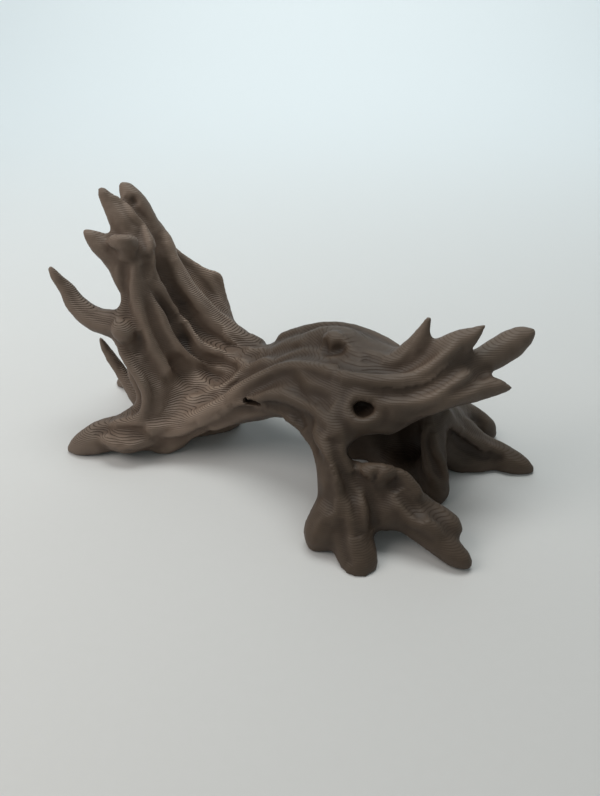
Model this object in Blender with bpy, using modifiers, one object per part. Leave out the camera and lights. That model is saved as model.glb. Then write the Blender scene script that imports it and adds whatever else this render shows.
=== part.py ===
"""A dry root: a one-piece model of a gnarled driftwood root, about 60 mm long.

A forked trunk stands at the left, sweeps down through a saddle and runs on as a humped log to the right.
The log rests on a front leg with three toes, on two splayed roots at its right end and on a broad left foot.
Every stretch of wood is a strand: a tube along a smooth curve, with its own thickness at each point.
The strands are fused and the hollows between them are webbed over, as wood grows, by swelling and shrinking.
Points are (x, y, z, radius) in millimetres: +X runs along the log, -Y is the front, z = 0 is the ground.
"""
import bmesh
import bpy
from mathutils import Vector
from mathutils.bvhtree import BVHTree

MM = 0.001
NODE = "dry_root"
LENGTH = 60.0 * MM            # overall length along X
TRIANGLE_BUDGET = 8000        # triangles left after the last simplification

CORE_VOXEL = 0.35 * MM        # grid of the thick core
CORE_WEB = 1.4 * MM           # swelling that webs the thick strands together
FINE_VOXEL = 0.27 * MM        # grid of the whole root
FINE_WEB = 0.35 * MM          # swelling that softens where ridges and limbs meet the core
RIDGE_SINK = 0.05             # share of its radius by which a ridge is let into the core
CORE_SMOOTHING = (2, 3)       # smoothing steps before and after the core's webbing
FINE_SMOOTHING = (1, 3)
TIP_REACH = 0.8               # how far a strand's round tip stands past its last point, in radii
TIP_TAPER = 0.45              # the radius there, as a share of the last one
TUBE_ROUNDNESS = 3            # bevel resolution of the tubes
TUBE_STEPS = 6                # steps between two points of a strand
PIT_SEGMENTS = 24
PIT_RINGS = 14
BED_DEPTH = 20.0 * MM         # depth of the block that cuts the soles flat
BED_SIDE = 120.0 * MM
WOOD_COLOUR = (0.105, 0.082, 0.068, 1.0)
WOOD_ROUGHNESS = 0.55

# Thick strands: the trunk, the saddle, the log and what carries them.
CORE_STRANDS = {
    "trunk_left_edge": [(-19.5, 8, 18.5, 1.3), (-19.5, 6.5, 14.5, 1.8), (-18.5, 4.5, 10.5, 1.8),
                        (-17, 3.5, 7, 2.3), (-19, 2, 3, 2.3), (-21.5, 1, 2.5, 2.1)],
    "trunk_middle": [(-18.5, 11.5, 23.5, 2.2), (-18.5, 10, 19, 2.5), (-17, 8, 13, 2.8),
                     (-15.5, 6.5, 7, 3.1), (-14.5, 4.5, 4, 3.1), (-16, 2.5, 1, 2.3)],
    "trunk_right": [(-18.5, 15.5, 26.5, 1.6), (-17.5, 15.5, 23.5, 1.8), (-16, 14.5, 19.5, 1.9),
                    (-14, 13.5, 16, 2.0), (-10.5, 11.5, 12.5, 1.8), (-6, 9.5, 10, 1.8), (-2, 6.5, 10.5, 2.0)],
    "trunk_sweep": [(-17.5, 13, 21, 1.8), (-15.5, 11.5, 15.5, 2.2), (-12.5, 9.5, 10.5, 2.2),
                    (-8, 8, 8, 2.0), (-3, 5.5, 9, 1.9)],
    "trunk_back": [(-18, 15.5, 22, 1.8), (-17.5, 15.5, 15, 2.2), (-16.5, 15.5, 8, 2.4),
                   (-15, 13.5, 3, 2.4), (-15.5, 10.5, 0.5, 2.4)],
    "back_heel": [(-18.5, 15.5, 4, 1.9), (-14, 13, 1.5, 2.2), (-9, 11, 0.5, 1.9)],
    "back_fill": [(-14.5, 12, 12, 2.4), (-13, 11, 6, 2.6), (-10.5, 9.5, 3, 2.4)],
    "fin_core": [(-16, 16, 20, 1.2), (-12.5, 15.5, 16, 1.2), (-9, 14, 12.5, 1.2), (-5, 11.5, 10, 1.3)],
    "terrace": [(-16, 7.5, 9, 2.2), (-12, 6, 6.5, 2.2), (-7.5, 5, 6, 2.0), (-2.5, 3.5, 8.5, 1.9)],
    "foot_core": [(-18, 3.5, 4, 2.3), (-21.5, 2.5, 3, 2.1)],
    "foot_under": [(-17, 6.5, 1, 2.0), (-12, 6.5, 0.5, 1.8), (-8, 8, 0.5, 1.8)],
    "log_front": [(-17.5, 3, 3, 1.9), (-13, 2, 5, 1.7), (-8.5, 1.5, 6.5, 1.6), (-4, 0.5, 9.5, 1.9),
                  (1.5, -2.5, 12.5, 2.2), (6.5, -5.5, 14, 2.3), (11.5, -7, 14.5, 2.0),
                  (16.5, -7, 15, 1.7), (20.5, -6.5, 15, 1.3)],
    "log_low": [(-14.5, 3, 2, 1.4), (-9.5, 2, 5, 1.4), (-5, 1, 6.5, 1.3), (0, -2.5, 10, 1.6),
                (4, -6.5, 10, 1.8), (5.5, -9.5, 9.5, 1.8)],
    "log_top": [(-2, 6.5, 10.5, 1.9), (2, 4.5, 13.5, 2.2), (5.5, 2.5, 15.5, 2.3), (9, -0.5, 15.5, 2.2),
                (12.5, -3, 15.5, 1.8)],
    "log_back": [(-1.5, 9.5, 10.5, 1.5), (2.5, 7.5, 13, 1.7), (7, 5.5, 14.5, 1.8), (11, 2.5, 14, 1.8),
                 (14, -0.5, 14, 1.6), (17, -2.5, 14.5, 1.5)],
    "log_core": [(-5, 5.5, 8, 2.0), (0, 1.5, 11.5, 2.5), (6, -2.5, 14, 2.8), (11.5, -4.5, 14, 2.6),
                 (16, -4.5, 14.5, 1.9)],
    "log_belly": [(7.5, -9, 12.5, 1.6), (10.5, -8.5, 12, 1.7), (13.5, -7.5, 13, 1.6), (18, -6.5, 14, 1.4)],
    "fork_upper": [(13.5, -4.5, 15.5, 1.8), (16.5, -4.5, 17.5, 1.6), (18.5, -4.5, 19, 1.3)],
    "fork_web": [(17, -4.5, 15.5, 1.7), (20, -4, 17, 1.4)],
    "fork_lower": [(17, -4.5, 14.5, 1.8), (21, -3.5, 15.5, 1.5)],
    "leg_main": [(5.8, -7, 12.5, 2.3), (4.9, -10.2, 9, 1.8), (5.1, -12.5, 5.5, 2.0), (6.2, -15, 3, 2.1)],
    "leg_web": [(7, -13, 4.5, 1.9), (9.5, -13.5, 3.5, 2.1), (12, -14, 3.8, 1.9)],
    "leg_shelf": [(7.4, -12.6, 5.8, 1.4), (9.5, -12.2, 6.9, 1.3), (11.7, -12.3, 6.7, 1.3),
                  (13.3, -13.3, 4.9, 1.4)],
    "leg_right": [(12, -11, 4.5, 1.5), (13.5, -13.5, 3.5, 2.1), (15.5, -16, 2.3, 1.9)],
    "middle_root": [(16, -3, 11, 1.4), (17, -4, 7.5, 1.5), (17, -5.5, 4.5, 1.6), (17.5, -7, 1.5, 1.4)],
    "right_root": [(15.5, -2, 11.5, 1.8), (20, 0, 6, 1.9), (24, 0, 2, 1.9), (26.5, -1, 0.5, 1.5)],
    "right_root_low": [(18.5, -0.5, 5, 1.9), (20.5, -1, 1.5, 2.0), (24.5, -1.5, 0.5, 1.5)],
    "rear_root": [(17.5, 2.5, 9, 1.8), (22, 4.5, 4.5, 1.7)],
    "rear_bulk": [(5, 3.5, 12.5, 2.0), (12, 2, 11.5, 2.2), (17, 1.5, 9.5, 2.0)],
    "cavity_wall_left": [(6.6, 1.5, 12, 1.7), (6.8, 1.5, 7, 1.7), (7.4, 1.5, 3, 1.7), (8, 1.5, 0, 1.7)],
    "cavity_floor": [(11, 0.5, 0.8, 1.6), (13.2, -2.5, 0.9, 1.6), (15.6, -5.2, 1.0, 1.5)],
    "cavity_wall": [(8.5, 1, 12, 1.7), (9.5, 1, 7, 1.7), (10.5, 1, 3, 1.7), (11.5, 1, 0, 1.7)],
    "cavity_wall_middle": [(11.5, 1, 11, 1.8), (13, 1, 6, 1.8), (14, 1, 0.5, 1.9)],
    "cavity_wall_right": [(14.5, 0.5, 11, 1.8), (16.5, 0.5, 6, 1.9), (18, 0.5, 0.5, 2.0)],
}

# Thin limbs, laid over the core afterwards so that the webbing doesn't swallow them.
LIMBS = {
    "left_spike": [(-24.5, 10.5, 26.5, 0.5), (-24, 10.5, 26, 0.9), (-23, 10.5, 25, 1.4), (-21, 10.5, 23, 1.8),
                   (-19.5, 9.5, 20, 1.8)],
    "top_spike": [(-22.8, 13.5, 31, 0.3), (-22.5, 13.5, 30.4, 0.7), (-21.8, 13.5, 29, 1.1),
                  (-20.5, 13, 27, 1.7), (-19, 12.5, 24, 1.9)],
    "rear_spike": [(-20.8, 16.5, 30.5, 0.4), (-20.5, 16.5, 30, 1.0), (-19.5, 16, 28.5, 1.5),
                   (-18, 15.5, 25.5, 1.7), (-17, 15.5, 23.5, 1.8)],
    "broken_stub": [(-19.3, 8.4, 25.5, 1.2), (-19.3, 9.4, 24.2, 1.4), (-19.5, 11, 22, 1.6)],
    "broken_ledge": [(-20.7, 8.7, 25.9, 0.9), (-19.4, 8, 26, 1.0), (-18.2, 8.6, 25.7, 0.9)],
    "fin_top": [(-17, 16.5, 22.5, 0.9), (-14, 17, 20, 0.8), (-11.5, 17.5, 18.2, 0.7), (-9.3, 18, 17.6, 0.4)],
    "fin_edge": [(-9.3, 18, 17.4, 0.4), (-9, 17, 14.5, 0.7), (-7.5, 15, 11, 0.9), (-4, 12.5, 9.5, 1.1)],
    "fin_sheet": [(-16.5, 16, 21, 1.0), (-13.5, 16, 17, 1.0), (-11, 15.5, 14.5, 1.0), (-7.5, 13.5, 11, 1.1),
                  (-4.5, 11.5, 10, 1.1)],
    "fin_sheet_high": [(-14, 17, 19.5, 0.8), (-11, 16.8, 17, 0.8), (-9.6, 16.2, 14.5, 0.8),
                       (-8.5, 15, 12.5, 0.8)],
    "bent_branch": [(-29.2, 9.5, 22.5, 0.4), (-28.8, 9.5, 21.5, 0.7), (-28.2, 9.5, 20.3, 0.9),
                    (-27.5, 9.5, 19.3, 1.1), (-26.5, 9, 17.5, 1.4), (-24.2, 8, 16, 1.6),
                    (-21.2, 7, 15.5, 1.8), (-18.5, 6.5, 13, 1.6)],
    "leaf": [(-25, 11, 11.8, 0.4), (-24, 11, 9, 0.8), (-22, 10, 6, 1.0), (-19.5, 7.5, 4, 1.4)],
    "far_root": [(-18, 14.5, 8, 1.8), (-20.5, 16, 4, 1.8), (-23.5, 17.5, 1, 1.5), (-25.3, 18.5, 0, 1.1)],
    "left_foot": [(-20.5, 3.2, 2, 2.4), (-23.4, 2.7, 2, 2.3), (-25.4, 2.2, 1.4, 2.0), (-27.2, 2, 0.7, 1.5),
                  (-28.1, 2, 0.3, 1.0)],
    "log_spike": [(13, -3.5, 16.5, 1.7), (14, -3.5, 18.5, 1.2), (14.8, -3.5, 20.7, 0.7), (15.2, -3.5, 22.3, 0.3)],
    "fork_spike_upper": [(16.5, -4.5, 18, 1.6), (19, -4.5, 19.8, 1.3), (20.2, -4.5, 20.8, 0.8),
                         (21.1, -4.5, 21.8, 0.3)],
    "fork_spike_right": [(19, -4, 15.5, 1.7), (21.5, -3.5, 16.5, 1.6), (23.6, -2.5, 17.3, 1.8),
                         (25.6, -2, 18.5, 1.6), (26.7, -2, 19.2, 1.0)],
    "fork_spike_low": [(15.5, -7, 14.5, 1.6), (18.5, -7, 14.8, 1.6), (21.3, -6.5, 15, 1.4),
                       (23, -6.5, 15, 1.0), (24.4, -6.5, 14.9, 0.4)],
    "toe_front": [(6.8, -14, 3.5, 2.3), (7, -16, 1.7, 2.3), (7.5, -17.6, 0.3, 2.2), (7.6, -18.6, -0.6, 1.8)],
    "toe_left": [(5.5, -13.5, 5, 2.1), (4.2, -14.5, 2.4, 2.3), (3.4, -15, 1, 2.0)],
    "toe_right": [(13.2, -13.8, 3.2, 1.9), (15.3, -15.9, 2.4, 1.7), (17.4, -17.6, 1.4, 1.5),
                  (18.7, -18.4, 0.8, 1.1)],
    "toe_right_upper": [(13.4, -12.3, 4.2, 1.5), (15.6, -14, 3.5, 1.5), (17.9, -15.4, 2.9, 1.2)],
    "middle_toe": [(17, -4.5, 6.5, 1.4), (17.2, -6, 3.2, 1.6), (17.4, -7.6, 0.8, 1.6)],
    "right_toe": [(22.5, 0, 2.5, 1.9), (26, -0.5, 1, 2.0), (28, -1.5, 0.6, 1.8), (29.6, -2.2, 0.4, 1.1)],
    "rear_toe": [(19, 3, 7, 1.6), (23, 4.8, 3.5, 1.8), (25.3, 5, 1.8, 1.8), (26.4, 5, 0.8, 1.4)],
}

# Ridges lie along the core's surface: each point is moved to the nearest point of the core.
RIDGES = {
    "spike_rim": [(-20.5, 14, 28.5, 0.5), (-19.5, 14, 27.5, 0.6), (-18, 13.5, 26, 0.7), (-17, 11, 24, 0.9)],
    "long_strand": [(-16, 15, 24, 1.1), (-15, 14, 21, 1.2), (-12, 12.5, 16, 1.3), (-9, 12.5, 13.5, 1.1),
                    (-6, 11.5, 12, 0.9), (-4, 11, 10.5, 0.8)],
    "second_strand": [(-17, 10.5, 23.5, 0.9), (-16.5, 9.5, 20.5, 0.8), (-15, 10, 17.5, 0.8), (-14, 10, 16, 0.8)],
    "shard": [(-13, 9.5, 15.5, 0.5), (-12.5, 9, 13.5, 0.8), (-11, 8.5, 12, 0.9), (-7.5, 8, 10.5, 0.9),
              (-5, 6, 10.5, 0.7)],
    "trunk_panel": [(-18.5, 9, 23, 0.9), (-18.5, 8, 20, 1.1), (-17.5, 6, 15, 1.2), (-15, 4.5, 10.5, 1.0)],
    "trunk_panel_right": [(-17.5, 8.5, 21, 0.8), (-16.5, 8, 18, 0.9), (-15, 7, 14.5, 0.9), (-11, 7, 10, 0.8)],
    "knob": [(-21, 6, 16.5, 1.2), (-20, 5, 15.5, 1.3)],
    "hollow_rim": [(-21, 6, 14, 0.5), (-20, 4, 12.5, 0.6), (-18.5, 2.5, 10.5, 0.7), (-17.5, 2, 8.5, 0.7),
                   (-18, 1.5, 6.5, 0.7), (-20, 1, 5, 0.7)],
    "saddle_band": [(-12.5, 3, 7, 0.9), (-10, 4, 7.5, 0.9), (-5, 4.5, 10.5, 0.9), (-2.5, 3.5, 12.5, 0.9)],
    "front_band": [(-17.5, 0.5, 4.5, 1.0), (-14, 0.5, 4.5, 1.1), (-9.5, 0.5, 7.5, 1.1), (-4.5, 0, 11.5, 1.0),
                   (-1, -0.5, 13.5, 1.0), (5, -5, 16, 1.1)],
    "middle_band": [(-11.5, 0.5, 5.5, 0.8), (-8, 0, 7.5, 0.8), (-2, -2.5, 11.5, 0.8), (1.5, -5, 12.5, 0.9),
                    (4, -8, 12.5, 0.9), (5.5, -10.5, 11.5, 0.8)],
    "low_band": [(-9.5, 0.5, 4.5, 0.7), (-5.5, -0.5, 7, 0.7), (-2.5, -2, 9, 0.7), (0, -4.5, 10, 0.8),
                 (2.5, -6.5, 9, 0.9), (4.5, -13.5, 7, 0.9)],
    "knot": [(4.8, 0.8, 17, 1.2), (5.5, 0, 17.3, 1.2)],
    "knot_tail": [(6.5, 0, 17.5, 0.7), (8, -2, 17, 0.7), (12, -4.5, 17, 0.8)],
    "branch_top": [(6, -6, 16, 0.9), (11, -7.5, 16.5, 1.0), (14, -7, 16.5, 1.0), (18, -5.5, 19.5, 0.8)],
    "branch_middle": [(10.5, -9, 14.5, 0.9), (13, -9, 14.5, 0.9), (16, -8.5, 15.5, 0.9), (19, -6.5, 16.5, 0.9)],
    "branch_low": [(11, -8.5, 13, 0.8), (14, -8.5, 13.5, 0.9), (18, -8.5, 15, 0.9), (21.5, -6.5, 15, 0.8)],
    "leg_left": [(3.5, -9, 11, 0.9), (4.5, -11.5, 9.5, 0.9), (5, -14, 6.5, 0.9), (4.5, -14.5, 3, 0.9)],
    "leg_middle": [(6, -11, 11, 0.6), (7, -12.5, 9.5, 0.7), (8, -14.5, 5.5, 0.8), (8.5, -15.5, 4, 0.8)],
    "leg_toe": [(6.5, -15, 6, 0.9), (7, -16.5, 3.5, 1.0), (7, -17, 2, 1.0)],
    "shelf_edge": [(8, -12.5, 8, 0.7), (10, -12.3, 8.2, 0.7), (12, -12.5, 8, 0.7), (13.8, -13.8, 6, 0.8)],
    "toe_ridge": [(11.5, -14, 5.5, 0.8), (13, -15.5, 4.5, 0.9), (15, -16.5, 4, 0.9), (16.5, -17, 2.5, 0.8)],
    "middle_root_left": [(16, -5, 9.5, 0.6), (15.5, -6, 6, 0.6), (16.5, -7.5, 3.5, 0.6), (17.5, -8, 2.5, 0.7)],
    "middle_root_right": [(16.5, -5, 8.5, 0.6), (17, -6, 6.5, 0.6), (18, -7, 4, 0.6), (18.5, -7.5, 3, 0.7)],
    "right_root": [(17.5, -3, 9.5, 0.8), (20.5, -2, 6, 0.8), (24.5, -1.5, 3, 0.8), (27, -1.5, 2, 0.7)],
    "foot_top": [(-22, 1.5, 4.5, 0.8), (-20, 1, 5, 0.8), (-18, 0.5, 5.5, 0.8)],
    "foot_low": [(-24, 0.5, 3, 0.9), (-21, -0.5, 3, 0.9), (-17.5, 0.5, 3, 0.9)],
    "back_long": [(-18, 17.5, 24, 1.0), (-17.5, 18, 17, 1.1), (-16.5, 18, 9, 1.1), (-17, 17.5, 3, 1.0)],
    "back_sweep": [(-15.5, 18, 17, 0.9), (-11.5, 16.5, 11.5, 1.0), (-5, 13, 8.5, 0.9), (0, 10, 10, 0.9)],
    "back_low": [(-13.5, 16.5, 10, 0.9), (-11, 14, 6, 1.0), (-10, 13, 2, 1.0)],
    "log_back_high": [(-1, 8.5, 12.5, 0.9), (3.5, 6.5, 15, 0.9), (8, 3.5, 16.5, 0.9), (13, -1, 16.5, 0.9)],
    "log_back_low": [(0, 9.5, 9, 0.8), (4.5, 8.5, 12, 0.8), (9.5, 5.5, 12.5, 0.9), (15, 2.5, 12, 0.8)],
    "rear_rib": [(12.5, 4, 10.5, 0.8), (13.5, 3.5, 6, 0.9), (15, 3.5, 2, 0.9)],
}

# Rotted-out side shoots, and the hollow beside the leg: (x, y, z) of the mouth, direction inwards, half width, half height, depth.
PITS = {
    "knot_hole": ((8.1, -9.6, 14.0), (0.0, 1.0, -0.25), 1.55, 1.05, 2.6),
    "slot_hole": ((-4.3, -1.7, 9.9), (0.1, 1.0, -0.3), 1.15, 0.5, 1.9),
    "spike_hole": ((-19.0, 13.8, 28.6), (0.0, 1.0, -0.3), 0.35, 0.3, 1.2),
    "leg_hollow": ((10.0, -11.5, 10.2), (0.0, 1.0, -0.65), 3.8, 1.9, 6.0),
}


def clear_scene():
    for old in list(bpy.data.objects):
        bpy.data.objects.remove(old)


def new_collection(name):
    collection = bpy.data.collections.new(name)
    bpy.context.scene.collection.children.link(collection)
    return collection


def evaluated_mesh(obj):
    bpy.context.view_layer.update()
    return bpy.data.meshes.new_from_object(obj.evaluated_get(bpy.context.evaluated_depsgraph_get()))


def with_round_ends(points):
    """Adds a point past each end of a strand, so that its flat cap becomes a round one."""
    def beyond(end, neighbour):
        outward = (Vector(end[:3]) - Vector(neighbour[:3])).normalized()
        radius = end[3]
        tip = Vector(end[:3]) + outward * radius * TIP_REACH
        return (*tip, radius * TIP_TAPER)

    return [beyond(points[0], points[1]), *points, beyond(points[-1], points[-2])]


def strand_mesh(strands):
    """One mesh of overlapping tubes, a closed tube for each strand."""
    curve = bpy.data.curves.new("strands", "CURVE")
    curve.dimensions = "3D"
    curve.bevel_depth = MM
    curve.bevel_resolution = TUBE_ROUNDNESS
    curve.use_fill_caps = True
    curve.resolution_u = TUBE_STEPS
    for points in strands:
        spline = curve.splines.new("BEZIER")
        spline.radius_interpolation = "CARDINAL"
        rounded = with_round_ends(points)
        spline.bezier_points.add(len(rounded) - 1)
        for bezier_point, (x, y, z, radius) in zip(spline.bezier_points, rounded):
            bezier_point.co = Vector((x, y, z)) * MM
            bezier_point.radius = radius
            bezier_point.handle_left_type = "AUTO"
            bezier_point.handle_right_type = "AUTO"
    guide = bpy.data.objects.new("strands", curve)
    bpy.context.scene.collection.objects.link(guide)
    mesh = evaluated_mesh(guide)
    bpy.data.objects.remove(guide)
    return mesh


def fused(mesh, voxel, web, smoothing):
    """Fuses overlapping tubes into one skin, then swells and shrinks it so that the creases fill."""
    obj = bpy.data.objects.new("fused", mesh)
    bpy.context.scene.collection.objects.link(obj)

    def remesh():
        modifier = obj.modifiers.new("Remesh", "REMESH")
        modifier.mode = "VOXEL"
        modifier.voxel_size = voxel

    def smooth(iterations):
        modifier = obj.modifiers.new("Smooth", "SMOOTH")
        modifier.factor = 0.5
        modifier.iterations = iterations

    def swell(distance):
        modifier = obj.modifiers.new("Swell", "DISPLACE")
        modifier.strength = distance
        modifier.mid_level = 0.0

    remesh()
    smooth(smoothing[0])
    swell(web)
    remesh()
    swell(-web)
    remesh()
    smooth(smoothing[1])
    result = evaluated_mesh(obj)
    bpy.data.objects.remove(obj)
    return result


def joined(meshes):
    bm = bmesh.new()
    for mesh in meshes:
        bm.from_mesh(mesh)
    result = bpy.data.meshes.new("joined")
    bm.to_mesh(result)
    bm.free()
    return result


def ridges_on(core):
    """The ridges as strands whose points are let into the core's surface."""
    bm = bmesh.new()
    bm.from_mesh(core)
    surface = BVHTree.FromBMesh(bm)
    bm.free()
    strands = []
    for points in RIDGES.values():
        strand = []
        for x, y, z, radius in points:
            place, normal, _, _ = surface.find_nearest(Vector((x, y, z)) * MM)
            place = place / MM - normal * radius * RIDGE_SINK
            strand.append((*place, radius))
        strands.append(strand)
    return strands


def into_cutters(cutter, collection):
    for home in cutter.users_collection:
        home.objects.unlink(cutter)
    collection.objects.link(cutter)
    cutter.hide_render = True
    cutter.display_type = "WIRE"
    return cutter


def bed_cutter(collection):
    """The block below z = 0 that leaves every sole flat."""
    bpy.ops.mesh.primitive_cube_add(size=1.0, location=(0, 0, -BED_DEPTH / 2))
    cutter = bpy.context.object
    cutter.name = "bed_cutter"
    cutter.scale = (BED_SIDE, BED_SIDE, BED_DEPTH)
    return into_cutters(cutter, collection)


def pit_cutter(name, collection):
    """A round-ended plug that leaves a blind hole."""
    mouth, inwards, half_width, half_height, depth = PITS[name]
    bpy.ops.mesh.primitive_uv_sphere_add(segments=PIT_SEGMENTS, ring_count=PIT_RINGS, radius=1.0)
    cutter = bpy.context.object
    cutter.name = name
    cutter.location = Vector(mouth) * MM
    cutter.rotation_mode = "QUATERNION"
    cutter.rotation_quaternion = Vector(inwards).to_track_quat("Y", "Z")
    cutter.scale = (half_width * MM, depth * MM, half_height * MM)
    return into_cutters(cutter, collection)


def wood_material():
    material = bpy.data.materials.new(NODE)
    material.use_nodes = True
    principled = material.node_tree.nodes["Principled BSDF"]
    principled.inputs["Base Color"].default_value = WOOD_COLOUR
    principled.inputs["Roughness"].default_value = WOOD_ROUGHNESS
    principled.inputs["Metallic"].default_value = 0.0
    return material


def bounds(obj):
    mesh = evaluated_mesh(obj)
    corners = [obj.matrix_world @ vertex.co for vertex in mesh.vertices]
    low = Vector([min(corner[axis] for corner in corners) for axis in range(3)])
    high = Vector([max(corner[axis] for corner in corners) for axis in range(3)])
    bpy.data.meshes.remove(mesh)
    return low, high


def main():
    clear_scene()
    parts = new_collection(NODE)
    cutters = new_collection("cutters")

    core = fused(strand_mesh(CORE_STRANDS.values()), CORE_VOXEL, CORE_WEB, CORE_SMOOTHING)
    whole = joined([core, strand_mesh(LIMBS.values()), strand_mesh(ridges_on(core))])
    skin = fused(whole, FINE_VOXEL, FINE_WEB, FINE_SMOOTHING)
    root = bpy.data.objects.new(NODE, skin)
    parts.objects.link(root)
    skin.materials.clear()
    skin.materials.append(wood_material())
    skin.shade_smooth()

    simplify = root.modifiers.new("Simplify", "DECIMATE")
    triangles = sum(len(polygon.vertices) - 2 for polygon in skin.polygons)
    simplify.ratio = TRIANGLE_BUDGET / triangles

    for cutter in (bed_cutter(cutters), *(pit_cutter(name, cutters) for name in PITS)):
        cut = root.modifiers.new(cutter.name, "BOOLEAN")
        cut.operation = "DIFFERENCE"
        cut.solver = "EXACT"
        cut.object = cutter

    low, high = bounds(root)
    scale = LENGTH / (high.x - low.x)
    middle = (low + high) / 2
    stand = bpy.data.objects.new("stand", None)
    parts.objects.link(stand)
    for obj in (root, *cutters.objects):
        obj.parent = stand
    stand.scale = (scale, scale, scale)
    stand.location = (-middle.x * scale, -middle.y * scale, 0.0)
    bpy.context.view_layer.update()
    low, high = bounds(root)
    print("size in mm:", [round(side / MM, 2) for side in high - low])


main()
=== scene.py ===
# %% [markdown]
# # A dry root, as a small model printed in brown plastic
#
# The real piece is one body: a gnarled driftwood root, printed in one go from brown filament and about 60
# mm long. Up close two things make it look real. The first is the wood: long strands and furrows that run
# down the trunk and along the log, knots, holes and torn spikes. The second is how it was made: thin
# layers, stacked like contour lines on a map, which spread out wherever the surface turns towards the sky.
#
# A fixed frame gives the body's place and size. The furrows are carved into a finer copy of that body, and
# the layers are part of the plastic's finish.

# %% The frame
import math

import bmesh
import bpy
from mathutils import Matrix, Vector
from mathutils.bvhtree import BVHTree


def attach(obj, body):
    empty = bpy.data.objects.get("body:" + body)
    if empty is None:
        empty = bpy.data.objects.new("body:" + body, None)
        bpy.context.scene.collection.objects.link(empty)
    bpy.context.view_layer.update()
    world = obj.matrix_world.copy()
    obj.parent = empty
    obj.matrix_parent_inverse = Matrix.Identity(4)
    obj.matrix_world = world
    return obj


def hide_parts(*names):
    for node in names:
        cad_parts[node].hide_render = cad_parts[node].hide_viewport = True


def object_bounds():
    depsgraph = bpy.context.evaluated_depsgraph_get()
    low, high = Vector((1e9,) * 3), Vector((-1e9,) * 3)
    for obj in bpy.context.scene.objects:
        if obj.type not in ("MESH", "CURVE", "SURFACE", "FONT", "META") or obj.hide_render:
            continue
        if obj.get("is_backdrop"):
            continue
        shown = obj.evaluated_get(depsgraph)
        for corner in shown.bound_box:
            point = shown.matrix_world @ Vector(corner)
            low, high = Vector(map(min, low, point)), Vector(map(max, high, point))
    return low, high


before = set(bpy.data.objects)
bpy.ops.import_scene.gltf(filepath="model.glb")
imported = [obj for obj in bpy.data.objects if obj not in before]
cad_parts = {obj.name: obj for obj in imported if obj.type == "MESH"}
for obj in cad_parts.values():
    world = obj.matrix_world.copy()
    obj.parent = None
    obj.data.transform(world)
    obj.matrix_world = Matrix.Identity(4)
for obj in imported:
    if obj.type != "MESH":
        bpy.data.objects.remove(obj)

MM = 0.001
NODE = "dry_root"
cad_low, cad_high = (Vector(corner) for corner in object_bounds())
print("frame box in mm:", [round(side / MM, 1) for side in cad_high - cad_low])

# %% [markdown]
# ## A finer copy to carve
#
# The frame's body is made of large triangles, far too coarse for grooves half a millimetre wide. It could
# be subdivided, but that keeps its long thin triangles. A voxel remesh lays an even grid over it instead,
# like clay pressed into the same mould, so every spot can be carved equally well. A light smoothing takes
# off the facets first.

# %% Remesh the frame's body
CLAY_VOXEL = 0.26 * MM


def baked(obj):
    """The object's mesh as its modifiers make it."""
    bpy.context.view_layer.update()
    return bpy.data.meshes.new_from_object(obj.evaluated_get(bpy.context.evaluated_depsgraph_get()))


def clay_copy():
    """The frame's body on an even grid."""
    bm = bmesh.new()
    bm.from_mesh(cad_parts[NODE].data)
    bmesh.ops.remove_doubles(bm, verts=bm.verts, dist=0.001 * MM)
    mesh = bpy.data.meshes.new("clay")
    bm.to_mesh(mesh)
    bm.free()
    obj = bpy.data.objects.new("clay", mesh)
    bpy.context.scene.collection.objects.link(obj)
    remesh = obj.modifiers.new("Even grid", "REMESH")
    remesh.mode = "VOXEL"
    remesh.voxel_size = CLAY_VOXEL
    smooth = obj.modifiers.new("Facets off", "SMOOTH")
    smooth.factor = 0.5
    smooth.iterations = 4
    fine = baked(obj)
    bpy.data.objects.remove(obj)
    return fine


clay = clay_copy()
print("clay:", len(clay.vertices), "points,",
      sum(len(face.vertices) - 2 for face in clay.polygons), "triangles")

# %% [markdown]
# ## The strands and furrows of the wood
#
# Weathered roots lose their soft wood first. What is left is a bundle of hard strands with furrows between
# them, and each furrow follows the way the root grew: down the trunk, through the saddle, along the log and
# down into the feet. Noise alone can't give that, because it has no direction. So each strand and each
# furrow is a stroke through a few points near the surface: its half width and its depth or height in
# millimetres, then the points (x, y, z), also in millimetres.

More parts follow.
